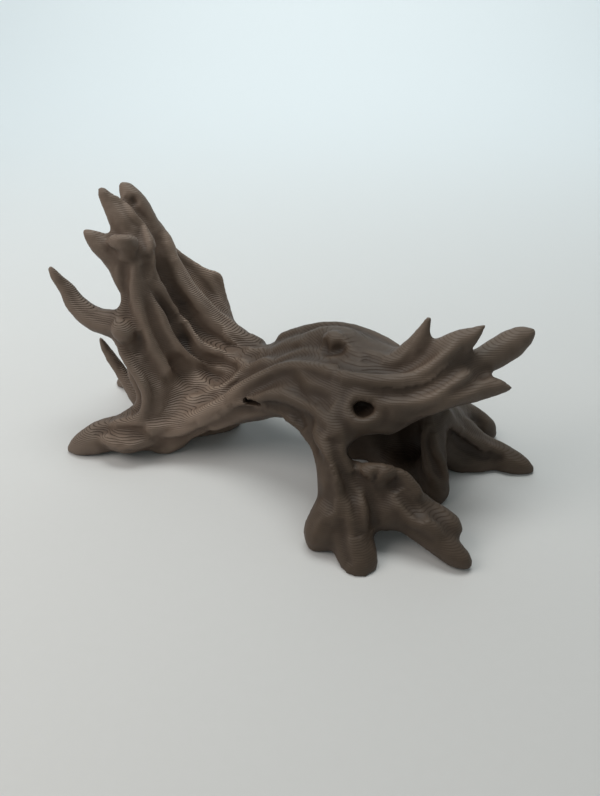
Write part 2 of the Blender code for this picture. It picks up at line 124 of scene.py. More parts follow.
# %% Furrows
FURROWS = {
    "trunk_deep": (0.85, 1.6, [(-17, 10.5, 24), (-16.7, 12, 21), (-15.8, 11.5, 18.5), (-14.6, 11, 16.3),
                            (-12.6, 10.4, 13.8), (-9.4, 10, 12.2), (-5.8, 9, 11.3)]),
    "trunk_middle": (0.7, 1.2, [(-17.5, 10, 24), (-17, 9.5, 22), (-16.5, 8.5, 20), (-15.5, 9, 16.5),
                                (-14.5, 8, 14), (-12.5, 7, 12), (-10.5, 6, 9.6), (-7.5, 4.5, 9.5)]),
    "trunk_left": (0.6, 0.7, [(-20, 8.5, 23.5), (-20.5, 8, 20), (-20, 6, 17)]),
    "panel_groove": (0.6, 0.6, [(-18, 9, 23), (-17.5, 7.5, 20), (-17, 6.5, 16.5), (-15.5, 5.5, 13),
                                (-14, 5.5, 9), (-12, 4.5, 7.8), (-9.5, 3, 7.8)]),
    "under_long_strand": (0.6, 0.8, [(-15, 13.5, 21.5), (-13, 12.5, 18.5), (-11, 12, 16.5),
                                     (-8.5, 12, 14), (-5.5, 11.5, 12)]),
    "fin_groove": (0.6, 0.35, [(-15, 14.5, 22.5), (-13.5, 16.5, 19.5), (-11.5, 16, 16.5),
                               (-9.5, 13, 14.5)]),
    "fin_groove_high": (0.5, 0.3, [(-13.5, 17, 20), (-11.5, 16.5, 17.5), (-10, 16, 15)]),
    "shard_shadow": (0.6, 1.1, [(-14, 9.5, 15), (-13.5, 8.5, 13.5), (-12.5, 7.5, 12), (-10, 8, 10.5),
                                (-6.5, 6.5, 10.5)]),
    "saddle_groove": (0.8, 0.4, [(-13, 4.5, 8), (-11, 3.5, 7.5), (-8.5, 0.5, 9.5), (-7.5, 3.5, 9),
                                 (-5.5, 3.5, 10.5), (-3, 2.5, 12.5)]),
    "saddle_groove_high": (0.6, 0.25, [(-12.5, 7, 10), (-10, 6.5, 9), (-7, 5, 10.5), (-4.5, 4, 12)]),
    "log_long": (0.75, 0.95, [(-8, -0.5, 8.5), (-6, -1, 10), (-5, -1, 11), (-2.5, -1.5, 13),
                              (-0.5, -2.5, 14), (1, -5, 13.5), (2.5, -6.5, 13.5), (4.5, -8, 13.5)]),
    "log_low": (0.6, 0.95, [(-3.3, -2.4, 10.1), (-2, -3.4, 10.3), (-1, -4.5, 10.5),
                            (0.5, -5.5, 10.5), (1.5, -6.5, 9.5)]),
    "foot_crease_a": (0.5, 0.6, [(-25.5, 1.5, 3.5), (-24, 1.5, 4), (-22, 0.5, 4.5), (-20, 0.5, 4.5),
                                  (-18, 0, 5)]),
    "foot_crease_b": (0.5, 0.5, [(-23.5, 0, 3.5), (-21.5, -1, 4), (-19.5, -0.5, 4), (-17.5, 0, 4)]),
    "foot_crease_c": (0.45, 0.3, [(-25, 0.5, 1.5), (-21.5, -1, 3), (-20, 0, 2)]),
    "hollow_groove": (0.55, 1.1, [(-22, 6, 13.5), (-21, 5, 12), (-20, 3.5, 10.5), (-19.5, 2.5, 8.5),
                                  (-19.5, 2, 7), (-20.5, 2, 6)]),
    "beside_knob": (0.6, 0.6, [(-19, 5, 16), (-18.6, 4.6, 14.5), (-19, 4.2, 13)]),
    "spike_gap": (0.6, 0.6, [(-21, 15, 29), (-19.5, 14.5, 28), (-18, 14, 26.5), (-17, 12.5, 25)]),
    "left_spike_groove": (0.4, 0.3, [(-23.5, 10, 26.5), (-22, 9.5, 25), (-20, 7.5, 25)]),
    "hump_dash": (0.45, 0.35, [(-3.5, 4, 13), (-2, 5, 13.5), (1, 3, 15)]),
    "hump_wave": (0.55, 0.25, [(-3.5, 2.5, 12.5), (-1, 1.5, 14), (1.5, 0, 15.5), (3.5, -2, 16)]),
    "hump_wave_low": (0.5, 0.3, [(-3, -0.5, 13.5), (0, -2, 15), (2, -4, 15.5), (4.5, -6, 15.5)]),
    "knot_right": (0.6, 0.35, [(6, 0.5, 18), (6.5, -0.5, 18), (7, -1.5, 17.5), (8, -3, 17), (10, -4, 17)]),
    "knot_ring": (0.5, 0.75, [(4, 0.5, 17.5), (4, -0.5, 16.5), (4.5, -1, 16.5), (5.5, -1, 17),
                             (6, -0.5, 17.5)]),
    "branch_high": (0.65, 0.45, [(6, -5, 16.5), (7.5, -5.5, 16.5), (10, -5.5, 16.5), (11.5, -5.5, 16.5),
                                (13.5, -5, 17.5), (14.5, -4.5, 18.5)]),
    "branch_long": (0.65, 0.4, [(9.5, -8, 15.5), (11.5, -8.5, 15.5), (13.5, -8.5, 16), (15.5, -8, 16.5),
                                (17.5, -6.5, 17.5), (19.5, -4.5, 18)]),
    "branch_fine": (0.45, 0.35, [(12, -8, 16.5), (14.5, -7.5, 17.5), (16.5, -6.5, 18.5),
                                 (18.5, -5.5, 19.5)]),
    "branch_under": (0.5, 0.4, [(15.5, -9, 16), (18, -8, 16), (20, -6.5, 16.5), (22, -4.5, 16.5)]),
    "leg_front": (0.6, 0.7, [(4, -10.5, 11.5), (4.5, -12, 10), (5.5, -13, 9), (6.5, -14, 7.5),
                             (7, -16, 5.5), (7, -17.5, 3.5)]),
    "leg_right_groove": (0.55, 0.8, [(6.6, -12.3, 8.5), (7.4, -13.5, 7), (8.3, -14.6, 5),
                                     (8.6, -15.3, 3)]),
    "leg_left_groove": (0.5, 0.4, [(2.5, -8, 9.5), (3.5, -12, 9.5), (4, -14, 7.5), (4, -15, 5.5)]),
    "toe_right_groove": (0.5, 0.5, [(11, -14, 6.5), (12.5, -15, 5.5), (14, -16.5, 5)]),
    "toe_front_groove": (0.45, 0.35, [(5.5, -16, 5), (5.5, -17.5, 2.5), (6, -19, 1)]),
    "shelf_groove": (0.5, 0.4, [(10.5, -12.5, 7.5), (11.5, -13.5, 6.5)]),
    "right_root_groove": (0.55, 0.6, [(18.5, -3, 7.5), (20.5, -2, 4.5), (22.5, -2, 3), (24.5, -2, 2)]),
    "right_root_fine": (0.4, 0.3, [(20.5, -2, 6.5), (22.5, -1.5, 4.5), (24.5, -1.5, 3.5)]),
    "right_root_pit": (0.5, 0.5, [(24.5, -2, 2.5), (25.5, -2, 2)]),
    "rear_root_groove": (0.4, 0.3, [(20.5, -0.5, 7.5), (23.5, 3.5, 4), (25, 3.5, 2.5)]),
    "trunk_foot_groove": (0.55, 0.5, [(-18, 0, 3.5), (-16, 0, 4.5), (-14, 0, 5.5), (-11.5, 0, 6)]),
    "bent_branch_groove": (0.4, 0.3, [(-28.5, 9.5, 21), (-27.5, 9, 19.5), (-26.5, 8, 18), (-24, 6.5, 17),
                                      (-21.5, 5.5, 17)]),
    "panel_end": (1.0, 0.8, [(-14.9, 6.3, 10.8), (-14.2, 5.8, 9.4)]),
    "log_rim_groove": (0.5, 0.6, [(-9, -0.5, 7), (-7.5, -1, 7.8), (-5, -1.7, 8.7), (-2.8, -3.2, 9),
                                  (-1, -4.8, 8.8)]),
    "saddle_wave_high": (0.5, 0.6, [(-8.5, 10.4, 12), (-5.9, 9.7, 11.8), (-2.5, 8.6, 12)]),
    "saddle_wave_low": (0.45, 0.45, [(-9.3, 8.3, 11.1), (-7, 7.7, 11.1), (-4, 6.9, 11.5)]),
    "spike_dimple": (0.35, 0.65, [(-19.55, 15.2, 29), (-19.4, 15.2, 28.8)]),
}

# %% Ridges
RIDGES = {
    "spike_rim_edge": (0.35, 0.9, [(-22, 13.5, 30), (-20.5, 14, 29), (-19.5, 13, 27.5), (-18.5, 13, 26),
                                   (-17.5, 11.5, 25), (-17, 10, 24)]),
    "long_strand_crest": (0.8, 0.7, [(-16, 14.5, 24), (-15.5, 13.5, 22), (-14, 12.5, 19.5),
                                     (-12, 12, 17), (-9.5, 12, 14), (-6.5, 11, 12), (-4, 11, 11)]),
    "second_crest": (0.5, 0.5, [(-17, 10, 23.5), (-17, 9, 21), (-16, 9.5, 18.5), (-14.5, 9.5, 16)]),
    "shard_crest": (0.5, 0.7, [(-13.5, 10, 15), (-13, 9, 14), (-11.5, 8, 12), (-8, 7.5, 10.5),
                               (-5.5, 4.5, 11.5)]),
    "hollow_rim_edge": (0.4, 0.55, [(-22.5, 6, 14.5), (-21, 4.5, 13.5), (-19.5, 3, 12),
                                    (-18.5, 2.5, 10.5), (-18, 1.5, 9), (-18.5, 1, 7)]),
    "knob_top": (0.9, 1.3, [(-20.8, 4.8, 16.2), (-20.3, 4.5, 15.8)]),
    "front_band_crest": (0.7, 0.2, [(-14, 0, 5.5), (-10, 0, 8.5), (-7, 0, 10), (-4.5, -0.5, 12),
                                    (-1.5, -1, 14), (1.5, -3, 15.5)]),
    "middle_crest": (0.6, 0.2, [(-9.5, 0, 6.5), (-6, -1, 9.5), (-3.5, -2.5, 11.5), (-1, -4, 12.5),
                                (1.5, -6, 12), (3, -8.5, 12)]),
    "low_crest": (0.5, 0.15, [(-6.5, -0.5, 7), (-3.5, -2, 9), (-1, -5, 10.5), (1, -6, 9.5)]),
    "hump_crest": (0.45, 0.3, [(-3.5, 6, 12.5), (-1, 4.5, 14), (2, 3, 16)]),
    "hump_crest_low": (0.45, 0.3, [(-3.5, 3, 12.5), (-1, 2.5, 14), (1.5, 1.5, 15.5), (3.5, -0.5, 16)]),
    "branch_crest": (0.75, 0.2, [(5.5, -6.5, 16.5), (10.5, -8, 17), (13.5, -7.5, 17), (15.5, -7, 18.5),
                                 (17.5, -5.5, 20)]),
    "branch_crest_low": (0.65, 0.2, [(10, -9, 15), (12.5, -9.5, 15), (15.5, -9, 16), (18.5, -7, 17)]),
    "knot_edge": (0.4, 0.4, [(5.5, 0, 18), (6, -1, 17.5), (7, -2, 17), (8, -3.5, 17)]),
    "knot_top": (0.7, 0.45, [(4.5, -0.5, 17.5), (5, -0.5, 17.5)]),
    "hole_lip": (0.55, 0.45, [(6.5, -8.5, 14), (6.5, -9.5, 13.5), (7.5, -10, 13), (8.5, -9.5, 13.5),
                             (9, -9, 14), (9, -8.5, 14.5), (7.5, -8, 15), (6.5, -8, 14.5),
                             (6.5, -8.5, 14)]),
    "leg_left_crest": (0.6, 0.4, [(3.5, -9.5, 11.5), (4, -12, 10), (5, -13.5, 8), (5, -15, 6),
                                  (4, -16, 4)]),
    "leg_middle_crest": (0.5, 0.45, [(5, -11, 11), (5.5, -12, 9.5), (6.5, -13.5, 8), (7.5, -14.5, 6.5),
                                     (7.5, -16.5, 3.5)]),
    "middle_root_crest_a": (0.3, 0.5, [(15.5, -5, 9.5), (15, -5.5, 7.5), (15.5, -6.5, 5.5),
                                       (16, -7.5, 4), (17, -8, 3)]),
    "middle_root_crest_b": (0.3, 0.5, [(16, -5.5, 8.5), (16.5, -6.5, 6.5), (17.5, -7, 5), (18, -7.5, 3)]),
    "right_root_crest": (0.5, 0.4, [(17, -4, 9.5), (19.5, -2.5, 6.5), (22, -2, 5), (23.5, -2, 3.5)]),
    "shelf_crest": (0.4, 0.5, [(8, -12.5, 8), (10, -12.4, 8.2), (12, -12.6, 8), (13.8, -13.8, 6)]),
    "shelf_start": (0.9, 1.0, [(6.8, -11.8, 8.8), (8, -12.1, 8.5), (9.4, -12.3, 8.3), (11, -12.4, 8.2)]),
    "ledge_edge": (0.35, 0.35, [(-20.6, 8, 26.6), (-19.4, 7.4, 26.8), (-18.2, 8, 26.4)]),
}

# %% [markdown]
# The back gets the same care as the front. Its strokes run between two or three points each, from the torn
# top of the trunk to the heel and from the saddle to the fork.

# %% Furrows and ridges at the back
BACK_FURROWS = {
    "back_trunk_a": (0.8, 0.7, [(-19.5, 16, 26), (-20, 15.5, 18), (-19, 16, 10), (-19, 15, 3)]),
    "back_trunk_b": (0.8, 0.8, [(-17, 18, 25), (-17, 18.5, 17), (-15.5, 18, 9), (-15, 16.5, 2)]),
    "back_trunk_c": (0.7, 0.6, [(-15.5, 18, 21), (-14, 17.5, 14), (-12.5, 16, 8), (-12, 14.5, 2)]),
    "back_fin_a": (0.6, 0.4, [(-14, 18.5, 19), (-11, 17.5, 14), (-7, 15, 10)]),
    "back_fin_b": (0.6, 0.4, [(-11, 18.5, 17), (-9, 17, 13), (-5.5, 13.5, 9.5)]),
    "back_saddle": (0.7, 0.6, [(-9, 14, 9), (-5, 12, 8), (-1, 10, 9), (3, 9, 12)]),
    "back_log_a": (0.7, 0.7, [(-2, 10, 11), (3, 8, 14), (8, 5.5, 15.5), (13, 1.5, 15.5)]),
    "back_log_b": (0.6, 0.6, [(1, 6.5, 15), (6, 4.5, 17), (11, 0.5, 17), (15, -2.5, 17)]),
    "back_log_c": (0.7, 0.7, [(0, 9, 8.5), (5, 7.5, 11), (10, 5.5, 11.5), (15, 3, 12)]),
    "back_wall_a": (0.6, 0.6, [(11, 4.5, 11), (12, 4, 6), (12.5, 3.5, 1)]),
    "back_wall_b": (0.6, 0.6, [(14.5, 4, 10.5), (15.5, 3.5, 6), (16.5, 3, 1)]),
    "rear_root_side": (0.5, 0.5, [(18, 4.5, 8.5), (21.5, 6, 5), (25, 6.5, 2)]),
    "far_root_top": (0.45, 0.4, [(-19.5, 15.5, 6.5), (-22, 16.5, 3.5), (-24.5, 18, 1.5)]),
    "left_side": (0.6, 0.6, [(-20.5, 8, 13), (-20, 9, 8), (-20, 10, 3)]),
}
BACK_RIDGES = {
    "back_crest_a": (0.7, 0.5, [(-18.5, 17, 27), (-18.5, 17.5, 19), (-17.5, 18, 10), (-17, 17.5, 2)]),
    "back_crest_b": (0.7, 0.5, [(-16, 18, 23), (-15.5, 18.5, 16), (-14, 17.5, 9), (-13.5, 16, 2)]),
    "back_crest_c": (0.6, 0.4, [(-12.5, 18.5, 18.5), (-10, 17, 13), (-6, 14, 9.5)]),
    "back_log_crest": (0.6, 0.45, [(-1, 9, 12.5), (4, 7, 15), (9, 4, 16.5), (14, 0, 16.5)]),
    "back_log_crest_low": (0.6, 0.4, [(0, 10, 10), (5, 8.5, 12.5), (10, 6, 13), (15, 3, 13.5)]),
    "back_wall_crest": (0.5, 0.5, [(13, 4.5, 11), (13.8, 4, 6), (14.5, 3.5, 1)]),
}

# %% [markdown]
# A stroke's points are joined by a smooth curve that passes through each of them (a Catmull-Rom curve), and
# every step along it is moved to the nearest spot on the clay. The result is a string of points. Each
# carries what the carving needs: how wide to cut, how deep, which way the grain runs there, and which way
# the surface faces. The depth fades towards both ends of a stroke, so no furrow stops dead. Only rings and
# short strokes keep their whole depth, because they are round knobs and pits. Each stroke also has a turn.
# Strokes that lie side by side are carved in different turns, so that none of them hides its neighbour.

# %% Turn the strokes into strings of points
STROKE_STEP = 0.2 * MM
FADE = 0.25                   # share of a stroke's length over which it fades at each end
WHOLE_DEPTH = 3               # a stroke shorter than this many half widths doesn't fade
TURNS = 7


def smooth_path(points):
    """Points every STROKE_STEP along a smooth curve through the given ones."""
    ends = [points[0] * 2 - points[1], *points, points[-1] * 2 - points[-2]]
    path = []
    for before, start, end, after in zip(ends, ends[1:], ends[2:], ends[3:]):
        steps = max(2, round((end - start).length / STROKE_STEP))
        for step in range(steps):
            t = step / steps
            path.append(0.5 * (2 * start + (end - before) * t
                               + (2 * before - 5 * start + 4 * end - after) * t * t
                               + (3 * start - before - 3 * end + after) * t * t * t))
    path.append(points[-1])
    return path


def stroke_strings(strokes, surface, sign):
    """A row of values for every step of every stroke."""
    rows = []
    for order, (half_width, depth, points) in enumerate(strokes.values()):
        path = smooth_path([Vector(point) * MM for point in points])
        spots = [surface.find_nearest(place)[:2] for place in path]
        places = [place for place, _ in spots]
        whole = (places[0] - places[-1]).length < WHOLE_DEPTH * half_width * MM
        for index, (place, normal) in enumerate(spots):
            along = index / (len(spots) - 1)
            fade = 1.0 if whole else min(1.0, along / FADE, (1.0 - along) / FADE)
            ahead = places[min(index + 2, len(places) - 1)] - places[max(index - 2, 0)]
            rows.append({"place": place, "half_width": half_width * MM,
                         "depth": sign * depth * MM * fade ** 0.5, "turn": order % TURNS,
                         "flow": ahead.normalized(), "facing": normal})
    return rows


def strings_object(rows):
    """The rows as loose points, each with its values as attributes."""
    mesh = bpy.data.meshes.new("strokes")
    mesh.from_pydata([row["place"] for row in rows], [], [])
    for name, kind in (("half_width", "FLOAT"), ("depth", "FLOAT"), ("turn", "INT")):
        attribute = mesh.attributes.new(name, kind, "POINT")
        for item, row in zip(attribute.data, rows):
            item.value = row[name]
    for name in ("flow", "facing"):
        attribute = mesh.attributes.new(name, "FLOAT_VECTOR", "POINT")
        for item, row in zip(attribute.data, rows):
            item.vector = row[name]
    obj = bpy.data.objects.new("strokes", mesh)
    bpy.context.scene.collection.objects.link(obj)
    return obj


bm = bmesh.new()
bm.from_mesh(clay)
clay_surface = BVHTree.FromBMesh(bm)
bm.free()
strokes = strings_object(stroke_strings({**FURROWS, **BACK_FURROWS}, clay_surface, -1)
                         + stroke_strings({**RIDGES, **BACK_RIDGES}, clay_surface, 1))
print("stroke points:", len(strokes.data.vertices))

# %% [markdown]
# ## Carving with Geometry Nodes
#
# The carving is one rule for every point of the clay: find the nearest stroke point, and the closer it is,
# the further the point moves along its normal. That is work for Geometry Nodes, where one small tree
# handles all ninety thousand points at once. A few helpers keep the trees readable: `put` adds a node and
# plugs in whatever it is given, `calc` and `vector_calc` add a Math node and return its result, and
# `smooth_step` turns any value into a soft mask.

# %% Helpers for node trees
def put(tree, kind, *inputs, named=None, **settings):
    """Adds a node. Inputs fill its sockets in order; `named` fills them by name."""
    node = tree.nodes.new(kind)
    for name, value in settings.items():
        setattr(node, name, value)
    by_name = ((node.inputs[name], value) for name, value in (named or {}).items())
    for socket, value in [*zip(node.inputs, inputs), *by_name]:
        if isinstance(value, bpy.types.NodeSocket):
            tree.links.new(value, socket)
        elif value is not None:
            socket.default_value = value
    return node


def calc(tree, operation, *values, clamp=False):
    return put(tree, "ShaderNodeMath", *values, operation=operation, use_clamp=clamp).outputs[0]


def vector_calc(tree, operation, *values):
    """A Vector Math node's result. SCALE takes a vector and a number, which has a socket of its own."""
    node = put(tree, "ShaderNodeVectorMath", *values[:2], operation=operation)
    if operation == "SCALE":
        scale = values[1]
        if isinstance(scale, bpy.types.NodeSocket):
            tree.links.new(scale, node.inputs["Scale"])
        else:
            node.inputs["Scale"].default_value = scale
    return node.outputs["Value" if operation in ("LENGTH", "DISTANCE", "DOT_PRODUCT") else "Vector"]


def smooth_step(tree, value, low, high):
    """0 at low, 1 at high and a soft S between them. Low may be the larger of the two."""
    return put(tree, "ShaderNodeMapRange", value, low, high, 0.0, 1.0,
               interpolation_type="SMOOTHSTEP").outputs[0]


def new_tree(name, kind, inputs, outputs):
    """A node group whose sockets are (name, type, default) and (name, type)."""
    tree = bpy.data.node_groups.new(name, kind)
    for socket_name, socket_type, default in inputs:
        socket = tree.interface.new_socket(socket_name, in_out="INPUT", socket_type=socket_type)
        if default is not None:
            socket.default_value = default
    for socket_name, socket_type in outputs:
        tree.interface.new_socket(socket_name, in_out="OUTPUT", socket_type=socket_type)
    return tree, tree.nodes.new("NodeGroupInput").outputs, tree.nodes.new("NodeGroupOutput").inputs


# %% [markdown]
# The first tree works out how far one turn's strokes push the clay. The profile across a stroke is a soft
# S, so furrows get rounded shoulders. A stroke acts only on surface that faces the same way, or a furrow at
# the front of a thin spike would cut its back too.

# %% The tree for one turn of strokes
STROKE_REACH = 2.2            # how far a stroke is felt, in half widths
SAME_SIDE = (-0.2, 0.4)       # cosine between the two facings, from no effect to full effect


def nearest_value(tree, strings, index, name, data_type):
    attribute = put(tree, "GeometryNodeInputNamedAttribute", name, data_type=data_type).outputs[0]
    return put(tree, "GeometryNodeSampleIndex", strings, attribute, index, data_type=data_type,
               domain="POINT").outputs[0]


def turn_tree():
    tree, given, result = new_tree(
        "stroke_push", "GeometryNodeTree",
        [("Strokes", "NodeSocketGeometry", None), ("Turn", "NodeSocketInt", 0)],
        [("Push", "NodeSocketFloat")])
    turn = put(tree, "GeometryNodeInputNamedAttribute", "turn", data_type="INT").outputs[0]
    same_turn = put(tree, "FunctionNodeCompare", data_type="INT", operation="EQUAL",
                    named={"A": turn, "B": given["Turn"]}).outputs[0]
    strings = put(tree, "GeometryNodeSeparateGeometry", given["Strokes"], same_turn,
                  domain="POINT").outputs[0]
    place = put(tree, "GeometryNodeInputPosition").outputs[0]
    normal = put(tree, "GeometryNodeInputNormal").outputs[0]
    index = put(tree, "GeometryNodeSampleNearest", strings, place, domain="POINT").outputs[0]
    stroke_place = put(tree, "GeometryNodeSampleIndex", strings, place, index, data_type="FLOAT_VECTOR",
                       domain="POINT").outputs[0]
    half_width = nearest_value(tree, strings, index, "half_width", "FLOAT")
    depth = nearest_value(tree, strings, index, "depth", "FLOAT")
    facing = nearest_value(tree, strings, index, "facing", "FLOAT_VECTOR")
    reach = calc(tree, "DIVIDE", vector_calc(tree, "DISTANCE", place, stroke_place), half_width)
    weight = smooth_step(tree, reach, STROKE_REACH, 0.0)
    same_side = smooth_step(tree, vector_calc(tree, "DOT_PRODUCT", facing, normal), *SAME_SIDE)
    push = calc(tree, "MULTIPLY", calc(tree, "MULTIPLY", depth, weight), same_side)
    tree.links.new(push, result["Push"])
    return tree


stroke_push = turn_tree()
print("tree:", stroke_push.name, "with", len(stroke_push.nodes), "nodes")

# %% [markdown]
# The second tree adds the grain: fine noise, averaged over a few steps along the direction of growth.
# Averaging along one direction smears the noise into fibres, which is how brushed metal or hair is often
# faked too.

# %% The tree for the grain
GRAIN_STEPS = 4               # noise samples on each side of a point, along the grain
FLOW_BLUR = 25                # rounds of blur that let the direction turn gently from stroke to stroke


def grain_tree():
    tree, given, result = new_tree(
        "grain_push", "GeometryNodeTree",
        [("Strokes", "NodeSocketGeometry", None),
         ("Fibre Width", "NodeSocketFloat", 0.9 * MM), ("Fibre Step", "NodeSocketFloat", 0.7 * MM),
         ("Fibre Depth", "NodeSocketFloat", 0.5 * MM), ("Lump Size", "NodeSocketFloat", 4.0 * MM),
         ("Lump Depth", "NodeSocketFloat", 0.5 * MM), ("Seed", "NodeSocketFloat", 3.0)],
        [("Push", "NodeSocketFloat")])
    strings = given["Strokes"]
    place = put(tree, "GeometryNodeInputPosition").outputs[0]
    index = put(tree, "GeometryNodeSampleNearest", strings, place, domain="POINT").outputs[0]
    flow = nearest_value(tree, strings, index, "flow", "FLOAT_VECTOR")
    flow = put(tree, "GeometryNodeBlurAttribute", flow, FLOW_BLUR, 1.0, data_type="FLOAT_VECTOR").outputs[0]
    flow = vector_calc(tree, "NORMALIZE", flow)
    fibre_scale = calc(tree, "DIVIDE", 1.0, given["Fibre Width"])
    total = None
    for step in range(-GRAIN_STEPS, GRAIN_STEPS + 1):
        slide = vector_calc(tree, "SCALE", flow, calc(tree, "MULTIPLY", given["Fibre Step"], float(step)))
        noise = put(tree, "ShaderNodeTexNoise", named={
            "Vector": vector_calc(tree, "ADD", place, slide), "W": given["Seed"], "Scale": fibre_scale,
            "Detail": 1.0, "Roughness": 0.5}, noise_dimensions="4D").outputs[0]
        total = noise if total is None else calc(tree, "ADD", total, noise)
    fibre = calc(tree, "SUBTRACT", calc(tree, "DIVIDE", total, float(2 * GRAIN_STEPS + 1)), 0.5)
    lumps = put(tree, "ShaderNodeTexNoise", named={
        "Vector": place, "W": given["Seed"], "Scale": calc(tree, "DIVIDE", 1.0, given["Lump Size"]),
        "Detail": 2.0}, noise_dimensions="4D").outputs[0]
    lumps = calc(tree, "SUBTRACT", lumps, 0.5)
    push = calc(tree, "ADD", calc(tree, "MULTIPLY", fibre, given["Fibre Depth"]),
                calc(tree, "MULTIPLY", lumps, given["Lump Depth"]))
    tree.links.new(push, result["Push"])
    return tree


grain_push = grain_tree()
print("tree:", grain_push.name, "with", len(grain_push.nodes), "nodes")

# %% [markdown]
# The last tree adds up the turns and the grain, moves the clay once along its normals, and lays the soles
# back on the ground plane. Then it measures how deep each point sits compared with the surface around it.
# That measure, `hollow`, goes with the mesh as an attribute. The finish uses it later to paint shade into
# the furrows and a highlight onto the crests.

# %% The carving tree
HOLLOW_BLUR = 12              # rounds of blur that turn a point's place into that of its surroundings


def carve_tree(material):
    tree, given, result = new_tree(
        "carve_root", "GeometryNodeTree",
        [("Geometry", "NodeSocketGeometry", None), ("Strokes", "NodeSocketObject", None),
         ("Stroke Strength", "NodeSocketFloat", 1.0), ("Grain Strength", "NodeSocketFloat", 1.0)],
        [("Geometry", "NodeSocketGeometry")])
    strings = put(tree, "GeometryNodeObjectInfo", given["Strokes"]).outputs["Geometry"]
    grain_here = put(tree, "GeometryNodeGroup", strings, node_tree=grain_push).outputs[0]
    push = calc(tree, "MULTIPLY", grain_here, given["Grain Strength"])
    for turn in range(TURNS):
        turn_push = put(tree, "GeometryNodeGroup", strings, turn, node_tree=stroke_push).outputs[0]
        push = calc(tree, "ADD", push, calc(tree, "MULTIPLY", turn_push, given["Stroke Strength"]))
    normal = put(tree, "GeometryNodeInputNormal").outputs[0]
    body = put(tree, "GeometryNodeSetPosition", given["Geometry"],
               named={"Offset": vector_calc(tree, "SCALE", normal, push)}).outputs[0]

    place = put(tree, "GeometryNodeInputPosition").outputs[0]
    parts = put(tree, "ShaderNodeSeparateXYZ", place).outputs
    above_ground = calc(tree, "MAXIMUM", parts[2], 0.0)
    grounded = put(tree, "ShaderNodeCombineXYZ", parts[0], parts[1], above_ground).outputs[0]
    body = put(tree, "GeometryNodeSetPosition", body, named={"Position": grounded}).outputs[0]

    around = put(tree, "GeometryNodeBlurAttribute", place, HOLLOW_BLUR, 1.0,
                 data_type="FLOAT_VECTOR").outputs[0]
    normal = put(tree, "GeometryNodeInputNormal").outputs[0]
    hollow = vector_calc(tree, "DOT_PRODUCT", vector_calc(tree, "SUBTRACT", around, place), normal)
    body = put(tree, "GeometryNodeStoreNamedAttribute", body, named={"Name": "hollow", "Value": hollow},
               data_type="FLOAT", domain="POINT").outputs[0]
    body = put(tree, "GeometryNodeRealizeInstances", body).outputs[0]
    body = put(tree, "GeometryNodeSetMaterial", body, named={"Material": material}).outputs[0]
    tree.links.new(body, result["Geometry"])
    return tree


# %% [markdown]
# ## The finish: layers of brown plastic
#
# The printer lays the plastic down in flat layers, about 0.2 mm high. On an upright face each layer shows
# as a thin rounded bead. Where the face leans towards the sky, the same layer shows as a terrace: a flat
# top, a round edge, and a dark line where the next layer starts. A bump map would blur such fine lines, so
# this group works out the surface's direction at each point instead. It takes the height above the bed,
# finds how far through its layer that is, and turns the normal as the bead or the terrace would. It also
# gives a mask of the creases between layers, into which the material paints shade.

# %% The layer group
LAYER = 0.2 * MM
BEAD_TURN = math.radians(165)  # how far the normal turns from the top of a layer's edge to its foot
EDGE_SHARE = (0.3, 1.0)       # narrowest and widest edge, as a share of the layer's step
LEVEL_FACE = (0.995, 0.95)    # upward part of the normal, from a level face without layers to a slope
TERRACED_FACE = (0.15, 0.75)  # the same, from an upright face with beads to a slope with terraces
CREASE_SHARE = 0.22           # half width of the dark line, as a share of the layer


